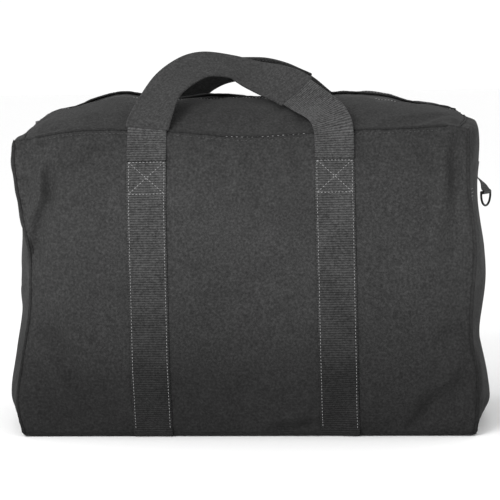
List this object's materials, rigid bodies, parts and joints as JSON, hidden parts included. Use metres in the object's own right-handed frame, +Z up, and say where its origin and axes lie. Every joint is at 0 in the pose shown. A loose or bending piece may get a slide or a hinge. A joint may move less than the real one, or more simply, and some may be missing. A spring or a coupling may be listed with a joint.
{
  "type": "flight bag",
  "caption": "Soft rectangular canvas kit bag with a zip along its domed top, webbing carrying handles that run right round the body, and a D-ring on each end.",
  "frame": {"origin": "on the ground under the middle of the bag's body, which is the middle of its footprint", "axes": "+X along the bag towards the end where the closed slider parks, +Y from the front to the back, +Z up"},
  "size_m": [0.6483, 0.3298, 0.5006],
  "materials": {
    "canvas": "heavy cotton canvas, matte",
    "binding": "cotton bias tape, matte",
    "webbing": "ribbed cotton webbing, matte",
    "zip_tape": "woven zip tape, matte",
    "zip_end": "woven zip tape, sewn down, matte",
    "zip_metal": "black painted metal, satin",
    "ring_metal": "black painted steel wire, gloss"
  },
  "bodies": {
    "shell": {"bottom_panel": "canvas", "front_panel": "canvas", "back_panel": "canvas", "left_end_panel": "canvas", "right_end_panel": "canvas", "front_seam_binding": "binding", "back_seam_binding": "binding", "left_webbing_run": "webbing", "right_webbing_run": "webbing", "left_ring_tab": "webbing", "right_ring_tab": "webbing", "left_zip_end": "zip_end", "right_zip_end": "zip_end", "zip_top_stops": "zip_metal", "zip_bottom_stop": "zip_metal", "left_end_teeth": "zip_metal", "right_end_teeth": "zip_metal"},
    "front_flap": {"front_top_strip": "canvas", "front_zip_tape": "zip_tape", "zip_teeth_front": "zip_metal"},
    "back_flap": {"back_top_strip": "canvas", "back_zip_tape": "zip_tape", "zip_teeth_back": "zip_metal"},
    "slider": {"zip_slider": "zip_metal"},
    "pull": {"zip_pull": "zip_metal"},
    "right_ring": {"right_d_ring": "ring_metal"},
    "left_ring": {"left_d_ring": "ring_metal"},
    "front_handle": {"front_handle_webbing": "webbing", "front_handle_sleeve": "canvas"},
    "back_handle": {"back_handle_webbing": "webbing", "back_handle_sleeve": "canvas"}
  },
  "joints": [
    {"name": "front_flap_fold", "type": "hinge", "parent": "shell", "child": "front_flap", "pos_m": [0, -0.1481, 0.3964], "axis": [-1, 0, 0], "range_deg": [0, 70]},
    {"name": "back_flap_fold", "type": "hinge", "parent": "shell", "child": "back_flap", "pos_m": [0, 0.1481, 0.3964], "axis": [1, 0, 0], "range_deg": [0, 70]},
    {"name": "zip_run", "type": "hinge", "parent": "shell", "child": "slider", "pos_m": [0, 0, -1.064], "axis": [0, 1, 0], "range_deg": [-19.7, 0]},
    {"name": "pull_swing", "type": "hinge", "parent": "slider", "child": "pull", "pos_m": [0.27734, 0, 0.41569], "axis": [0, 1, 0], "range_deg": [0, 150]},
    {"name": "right_ring_swing", "type": "hinge", "parent": "shell", "child": "right_ring", "pos_m": [0.32136, 0, 0.305], "axis": [-0.4695, -0.8829, 0], "range_deg": [0, 150]},
    {"name": "left_ring_swing", "type": "hinge", "parent": "shell", "child": "left_ring", "pos_m": [-0.31441, 0, 0.305], "axis": [0, 1, 0], "range_deg": [0, 150]},
    {"name": "front_handle_swing", "type": "hinge", "parent": "shell", "child": "front_handle", "pos_m": [0, -0.1578, 0.362], "axis": [1, 0, 0], "range_deg": [0, 155]},
    {"name": "back_handle_swing", "type": "hinge", "parent": "shell", "child": "back_handle", "pos_m": [0, 0.1578, 0.362], "axis": [-1, 0, 0], "range_deg": [0, 155]}
  ]
}
